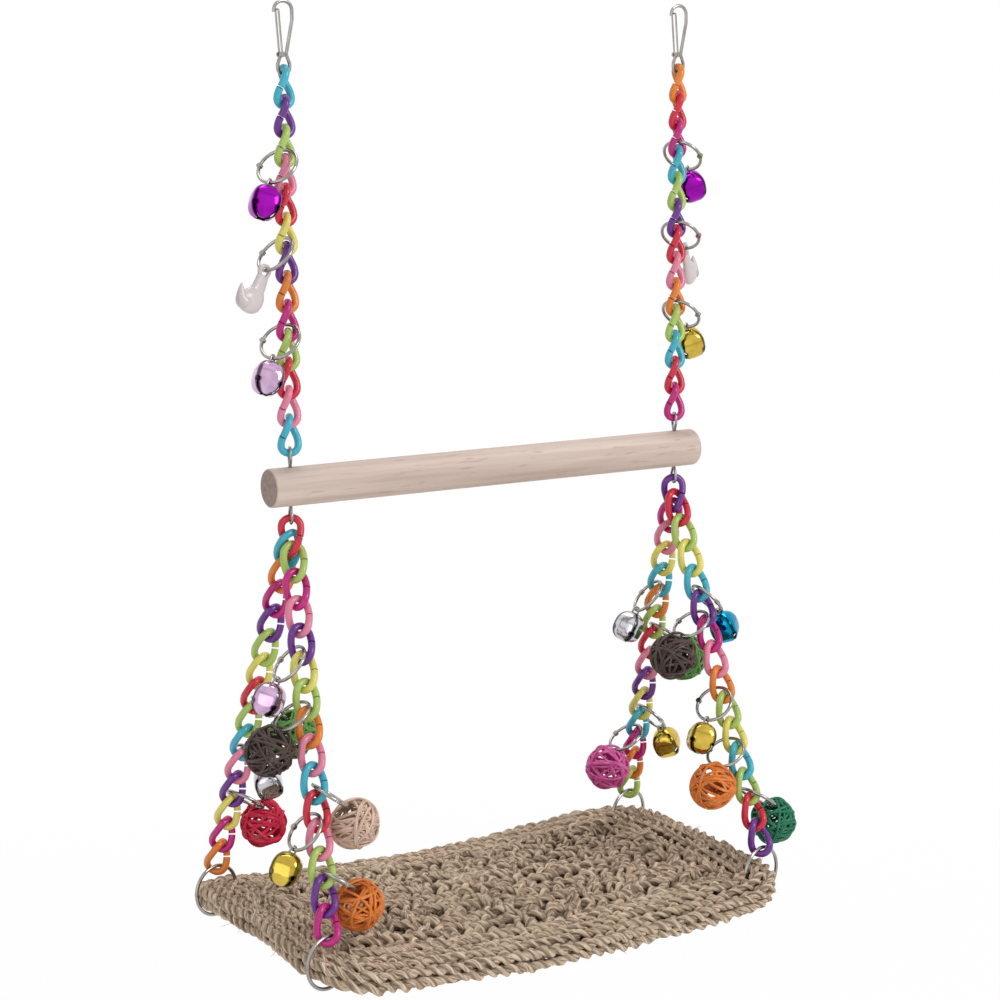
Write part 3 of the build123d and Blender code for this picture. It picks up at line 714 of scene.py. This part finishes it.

# %% [markdown]
# ## Finishes of the rigid parts
# The links are moulded plastic with a soft gloss, the wire parts are plated steel, and the bells are
# thin lacquered metal. One plain colour for each would look like a drawing, so a cloudy noise shades
# every tone a little, and a finer one varies the gloss. On the steel the darker clouds are partly
# tarnish and partly painted reflection of darker surroundings.

# %% Plastic links
link_tones = {
    "cyan": colour(0.25, 0.70, 0.79),
    "purple": colour(0.42, 0.17, 0.55),
    "lime": colour(0.69, 0.80, 0.40),
    "pink": colour(0.90, 0.52, 0.63),
    "red": colour(0.82, 0.13, 0.24),
    "yellow": colour(0.90, 0.86, 0.42),
    "orange": colour(0.90, 0.51, 0.17),
    "magenta": colour(0.76, 0.10, 0.49),
}


def plastic_finish(name, tone):
    """Moulded plastic: cloudy colour, and fine scuffs in the gloss."""
    made, shader, spot, _ = start_finish(name, Specular_IOR_Level=0.5)
    cloud = spot.noise(scale=90.0, detail=2.0)
    scuff = spot.noise(scale=700.0)
    body = cloud.band(0.3, 0.7).blend(shaded(tone, 0.86), tone)
    relief = scuff.bump(distance=0.00006, strength=0.5)
    feed(shader, Base_Color=body, Roughness=scuff.between(0.18, 0.34), Normal=relief)
    return made


links = {name: plastic_finish(f"link_{name}", tone) for name, tone in link_tones.items()}
print("link finishes", len(links))

# %% Steel, bells and charms
metal_dark_share, steel_gloss_span, petal_middle, fold_height = 0.72, 0.14, 0.5, 0.44


def steel_finish(name, tone, rough):
    """Plated wire: dull clouds, partly tarnish and partly painted reflection of darker surroundings, and
    a fine drawn grain in the gloss.
    """
    made, shader, spot, _ = start_finish(name, Metallic=1.0)
    drawn = spot.noise(scale=900.0)
    dull = spot.noise(scale=120.0, detail=2.0)
    # Painted reflection in part: the darker clouds stand in for darker surroundings mirrored in the
    # plating, besides some tarnish.
    body = dull.band(0.35, 0.7).blend(shaded(tone, metal_dark_share), tone)
    gloss = drawn.between(rough, rough + steel_gloss_span)
    relief = drawn.bump(distance=0.00003, strength=0.4)
    feed(shader, Base_Color=body, Roughness=gloss, Normal=relief)
    return made


def bell_finish(name, tone):
    """Lacquered metal. The UV's first number runs over a petal and the second from crown to foot,
    so a petal's edges by the slits and the fold round the bell can get painted shade, dark lines where
    shadow falls."""
    made, shader, spot, petal = start_finish(name, Metallic=1.0)
    dent, fine = [spot.noise(scale, detail=2.0) for scale in (140.0, 1100.0)]
    edge = (petal.part("X") - petal_middle).math("ABSOLUTE") * 2.0 + dent * 0.16
    fold = (petal.part("Y") - fold_height).math("ABSOLUTE") * -1.0 + 0.05 + dent * 0.04
    # Painted shade: dark lines along each petal's edges at the slits and along the fold round the bell.
    wear_and_shade = edge.band(0.86, 0.98).math("MAXIMUM", fold.band(0.04, 0.075) * 0.4)
    body = dent.band(0.35, 0.7).blend(shaded(tone, metal_dark_share), tone)
    body = wear_and_shade.blend(body, shaded(tone, 0.16))
    relief = dent.bump(distance=0.0006, strength=0.4)
    feed(shader, Base_Color=body, Roughness=fine.between(0.08, 0.16), Normal=relief)
    return made


steel = steel_finish("steel", colour(0.68, 0.66, 0.64), 0.12)
eye_wire = steel_finish("eye_wire", colour(0.66, 0.65, 0.65), 0.22)
bell_tones = {
    "purple": colour(0.66, 0.10, 0.72),
    "rose": colour(0.86, 0.72, 0.86),
    "gold": colour(0.86, 0.74, 0.32),
    "silver": colour(0.84, 0.84, 0.87),
    "blue": colour(0.08, 0.60, 0.76),
}
bells = {name: bell_finish(f"bell_{name}", tone) for name, tone in bell_tones.items()}
charm = plastic_finish("charm_white", colour(0.83, 0.79, 0.79))
print("bell finishes", len(bells))

# %% [markdown]
# ## Jingle bells
# Each bell is pressed from thin sheet: a round crown, and below it four petals that fold in to meet at
# the foot, with a slit between each two that starts in a small round hole. Slits could be cut out of a
# ball, but one grid per petal gives them for free, because a petal simply stops short of its
# neighbour. A wall is added after the petals are joined at the crown.

# %% Petals
bell_radius, bell_drop, slit_half, hole_radius = 0.00975, 0.01145, 0.0008, 0.0016
slit_top, petals, most_gap_share = radians(104.0), 4, 0.6
crown_span, petal_span = (0.03, slit_top - 0.18), (slit_top - 0.17, radians(168.0))
square_gain, square_from, square_over = 2.4, 0.5, 0.9
bell_waist, bell_bulge = 0.84, 0.8
petal_down, petal_across = 34, 15


def petal_grid(down, across):
    """Four petals over the angle t from the crown and the turn p: the distance from the axis is
    0.84 R sin^0.8 t, times (cos^m + sin^m)^(-1/m) of the turn from a petal's middle, where m grows
    from 2 to 4.4 so that the lower part is a rounded square, and the height is R cos^0.8 t. A petal
    keeps half a slit away from its edges."""
    t = np.concatenate([np.linspace(*crown_span, down // 2),
                        np.linspace(*petal_span, down - down // 2)])
    below = bell_radius * (t - slit_top)
    half = np.where(below > 0, slit_half, 0.0)
    half = np.maximum(half, np.sqrt(np.clip(hole_radius ** 2 - below ** 2, 0, None)))
    gap = np.arcsin(np.clip(half / (bell_radius * np.sin(t)), 0, most_gap_share))[:, None]
    share = np.linspace(0, 1, across)
    turn = gap + (pi / 2 - 2 * gap) * share + (np.arange(petals) * pi / 2)[:, None, None]
    power = 2 + square_gain * np.clip((t - square_from) / square_over, 0, 1)[:, None]
    face = turn - pi / 4
    square = (np.abs(np.cos(face)) ** power + np.abs(np.sin(face)) ** power) ** (-1 / power)
    q = bell_waist * bell_radius * np.sin(t)[:, None] ** bell_bulge * square
    z = bell_radius * np.sign(np.cos(t)) * np.abs(np.cos(t)) ** bell_bulge
    z = np.broadcast_to(z[:, None], q.shape)
    grid = np.stack([q * np.cos(turn), q * np.sin(turn), z], axis=-1)
    uv = np.broadcast_arrays(share, (t / pi)[:, None], np.zeros((petals, 1, 1)))[:2]
    return grid, np.stack(uv, axis=-1)


print("petals, rows, points in a row", petal_grid(petal_down, petal_across)[0].shape[:3])

# %% Bell shells
sheet_wall, join_distance, toy_tilt = 0.0006, 1e-6, 26.0


def sheet_faces(count, down, across):
    """Corner numbers of every quad on `count` open sheets of `down` by `across` points."""
    row, col = np.meshgrid(np.arange(down - 1), np.arange(across - 1), indexing="ij")
    first = row * across + col
    quad = np.stack([first, first + across, first + across + 1, first + 1], axis=-1)
    return (np.arange(count)[:, None, None, None] * down * across + quad).reshape(-1, 4)


def bell_shell(name, toy, finish):
    """Petals in the toy's place, joined at the crown, with a wall put on the inside."""
    foot, _, out = hanger_of(toy)
    toy_out, toy_up = leaning(out, toy_tilt)
    grid, uv = petal_grid(petal_down, petal_across)
    axes = np.stack([toy_out, np.cross(toy_up, toy_out), toy_up])
    corners = foot - toy_up * bell_drop + grid @ axes
    mesh = bpy.data.meshes.new(name)
    mesh.from_pydata(corners.reshape(-1, 3), [], sheet_faces(*grid.shape[:3]).tolist())
    order = np.zeros(len(mesh.loops), np.int64)
    mesh.loops.foreach_get("vertex_index", order)
    layer = mesh.uv_layers.new(name="petal")
    layer.data.foreach_set("uv", uv.reshape(-1, 2)[order].astype(np.float32).reshape(-1))
    joined = bmesh.new()
    joined.from_mesh(mesh)
    bmesh.ops.remove_doubles(joined, verts=joined.verts, dist=join_distance)
    joined.to_mesh(mesh)
    joined.free()
    mesh.polygons.foreach_set("use_smooth", np.ones(len(mesh.polygons), bool))
    mesh.materials.append(finish)
    piece = bpy.data.objects.new(name, mesh)
    scene.collection.objects.link(piece)
    wall = piece.modifiers.new("wall", "SOLIDIFY")
    wall.thickness, wall.offset = sheet_wall, -1.0
    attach(piece, toy)
    print(name, "faces", len(mesh.polygons))
    return piece


print("quads on all petals of a bell", len(sheet_faces(petals, petal_down, petal_across)))

# %% Bells with staple and pellet
staple_half, staple_wire, staple_around, bow_steps = 0.0019, 0.0006, 10, 17
leg_top, leg_foot = -0.0010, -0.0024
pellet_radius, pellet_gap, pellet_pole, pellet_steps, pellet_around = 0.003, 0.0009, 0.05, 15, 16
bow_turn = np.linspace(pi, 0, bow_steps)
staple_flat = np.concatenate([[(-staple_half, leg_foot), (-staple_half, leg_top)],
                              staple_half * np.stack([np.cos(bow_turn), np.sin(bow_turn)], axis=1),
                              [(staple_half, leg_top), (staple_half, leg_foot)]])
pellet_turn = np.linspace(pellet_pole, pi - pellet_pole, pellet_steps)
for name in toys_of("bell"):
    tone = name.split("_")[-2]
    foot, across, out = hanger_of(name)
    toy_out, toy_up = leaning(out, toy_tilt)
    shell = bell_shell(f"{name}_shell", name, bells[tone])
    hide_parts(name)
    bow = foot + staple_flat[:, :1] * toy_out + staple_flat[:, 1:] * toy_up
    bow_tube = one_tube(bow, across, staple_wire, staple_around)
    staple = mesh_piece(f"{name}_staple", bow_tube, False, name, steel)
    heart = foot - toy_up * (bell_drop + bell_radius - pellet_gap - pellet_radius)
    spine = heart - np.cos(pellet_turn)[:, None] * pellet_radius * toy_up
    pellet_ball = one_tube(spine, toy_out, pellet_radius * np.sin(pellet_turn), pellet_around)
    pellet = mesh_piece(f"{name}_pellet", pellet_ball, False, name, steel)

# %% [markdown]
# ## White charms
# A charm is a small solid moulding with an eye on top, a neck that widens, and a rounded body with an
# upturned tip. It could be sculpted, but level ovals are enough for neck and body: the half width is
# the fourth root of the sum of two fourth powers, which joins a cone and a ball smoothly. A tapered
# tube makes the tip.

# %% Charm shape
charm_steps, charm_around = 48, 24
charm_top, charm_foot = 0.0032, 0.0256
ball_depth, ball_half_high, ball_half_wide, ball_half_deep = 0.0185, 0.0072, 0.0079, 0.0037
neck_half, neck_slope, neck_deep_share, least_square = 0.0038, 0.11, 0.5, 0.0004
belly_shift, shift_from, shift_over = 0.0026, 0.008, 0.012
tip_start, tip_reach, tip_powers = np.array([(0.0062, -0.0205), (0.0056, 0.0085), (0.7, 1.6)])
tip_root, tip_taper, tip_end = 0.0040, 0.8, 0.0004
depth = np.linspace(charm_top, charm_foot, charm_steps)
ball_share = np.sqrt(np.clip(1 - ((depth - ball_depth) / ball_half_high) ** 2, least_square, None))
neck = (neck_half + neck_slope * (depth - charm_top)) * np.where(depth < ball_depth, 1.0, ball_share)
half_wide, half_deep = [((share * neck) ** 4 + (size * ball_share) ** 4) ** 0.25 for share, size in
                        ((1.0, ball_half_wide), (neck_deep_share, ball_half_deep))]
offset = belly_shift * (1 - np.cos(pi * np.clip((depth - shift_from) / shift_over, 0, 1))) / 2
at = np.linspace(0, 1, charm_steps)
tip_path = tip_start + tip_reach * at[:, None] ** tip_powers
tip_size = tip_root * (1 - at) ** tip_taper + tip_end
print("charm half width", half_wide.max().round(4), "half depth", half_deep.max().round(4))

# %% Charm bodies and eyes
eye_half, eye_drop, eye_radius, eye_steps, eye_around = 0.0032, 0.0007, 0.0012, 40, 12
round_turn = np.arange(charm_around) * 2 * pi / charm_around
eye_turn = np.linspace(0, 2 * pi, eye_steps, endpoint=False)[:, None]
for name in toys_of("charm"):
    foot, across, out = hanger_of(name)
    toy_out, toy_up = leaning(out, toy_tilt)
    level = foot + offset[:, None, None] * toy_out - depth[:, None, None] * toy_up
    oval = (level + (half_wide[:, None] * np.cos(round_turn))[..., None] * toy_out
            + (half_deep[:, None] * np.sin(round_turn))[..., None] * across)
    spine = foot + tip_path[:, :1] * toy_out + tip_path[:, 1:] * toy_up
    tip = one_tube(spine, across, tip_size, charm_around)
    body = mesh_piece(f"{name}_body", np.concatenate([oval[None], tip]), False, name, charm)
    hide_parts(name)
    loop = foot + eye_half * (np.cos(eye_turn) * toy_out + np.sin(eye_turn) * toy_up) - toy_up * eye_drop
    eye_tube = one_tube(loop, across, eye_radius, eye_around, True)
    eye = mesh_piece(f"{name}_eye", eye_tube, True, name, charm)

# %% [markdown]
# ## The perch
# The perch is a plain beech dowel. Its side shows long grain with short dark flecks, and its sawn ends
# are coloured darker, partly as end grain and partly as painted shade of an end turned from the light.
# Two materials would need the faces sorted, so one material changes over at the place where the end
# starts.

# %% Beech finish
def beech_finish():
    """Noise drawn out along the dowel for grain and flecks, and a finer one for the ends, whose darker
    tone is partly end grain and partly painted shade.
    """
    made, shader, spot, _ = start_finish("beech", Specular_IOR_Level=0.3)
    early, late, fleck_tone = colour(0.73, 0.64, 0.59), colour(0.86, 0.79, 0.75), colour(0.63, 0.52, 0.46)
    # The end tones are darker than the side: partly end grain, partly painted shade of the end face.
    end_dark, end_light = colour(0.54, 0.47, 0.44), colour(0.66, 0.58, 0.55)
    grain_scale, fleck_scale, pore_scale = [(along, across, across) for along, across in
                                            ((5.0, 130.0), (60.0, 500.0), (20.0, 420.0))]
    end_span = (0.1441, 0.1444)
    grain = spot.stretched(grain_scale).noise(scale=1.0, detail=4.0, roughness=0.6)
    fleck = spot.stretched(fleck_scale).noise(scale=1.0, detail=2.0)
    side = grain.band(0.3, 0.72).blend(early, late)
    side = (fleck.band(0.62, 0.72) * 0.45).blend(side, fleck_tone)
    pores = spot.stretched(pore_scale).noise(scale=1.0)
    end = pores.band(0.3, 0.7).blend(end_dark, end_light)
    tone = spot.part("X").math("ABSOLUTE").band(*end_span).blend(side, end)
    relief = (grain + fleck * 0.4).bump(distance=0.0002, strength=0.5)
    feed(shader, Base_Color=tone, Roughness=grain.between(0.5, 0.7), Normal=relief)
    return made


beech = beech_finish()
print("finish", beech.name)

# %% [markdown]
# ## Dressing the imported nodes
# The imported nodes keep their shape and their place, and only get a finish. A link's colour is the last
# word of its node's name, so a table of nodes isn't needed.

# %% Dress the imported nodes
def dress(name, finish):
    """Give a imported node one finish."""
    slots = nodes[name].data.materials
    slots.clear()
    slots.append(finish)


for name in nodes:
    words = name.split("_")
    if "links" in words:
        dress(name, links[words[-1]])
    elif name.endswith(("hook", "gate", "rings")):
        dress(name, steel)
dress("left_lead_link", links["cyan"])
dress("right_lead_link", links["orange"])
dress("perch_dowel", beech)
dress("eye_pins", eye_wire)
print("dressed", len(nodes))
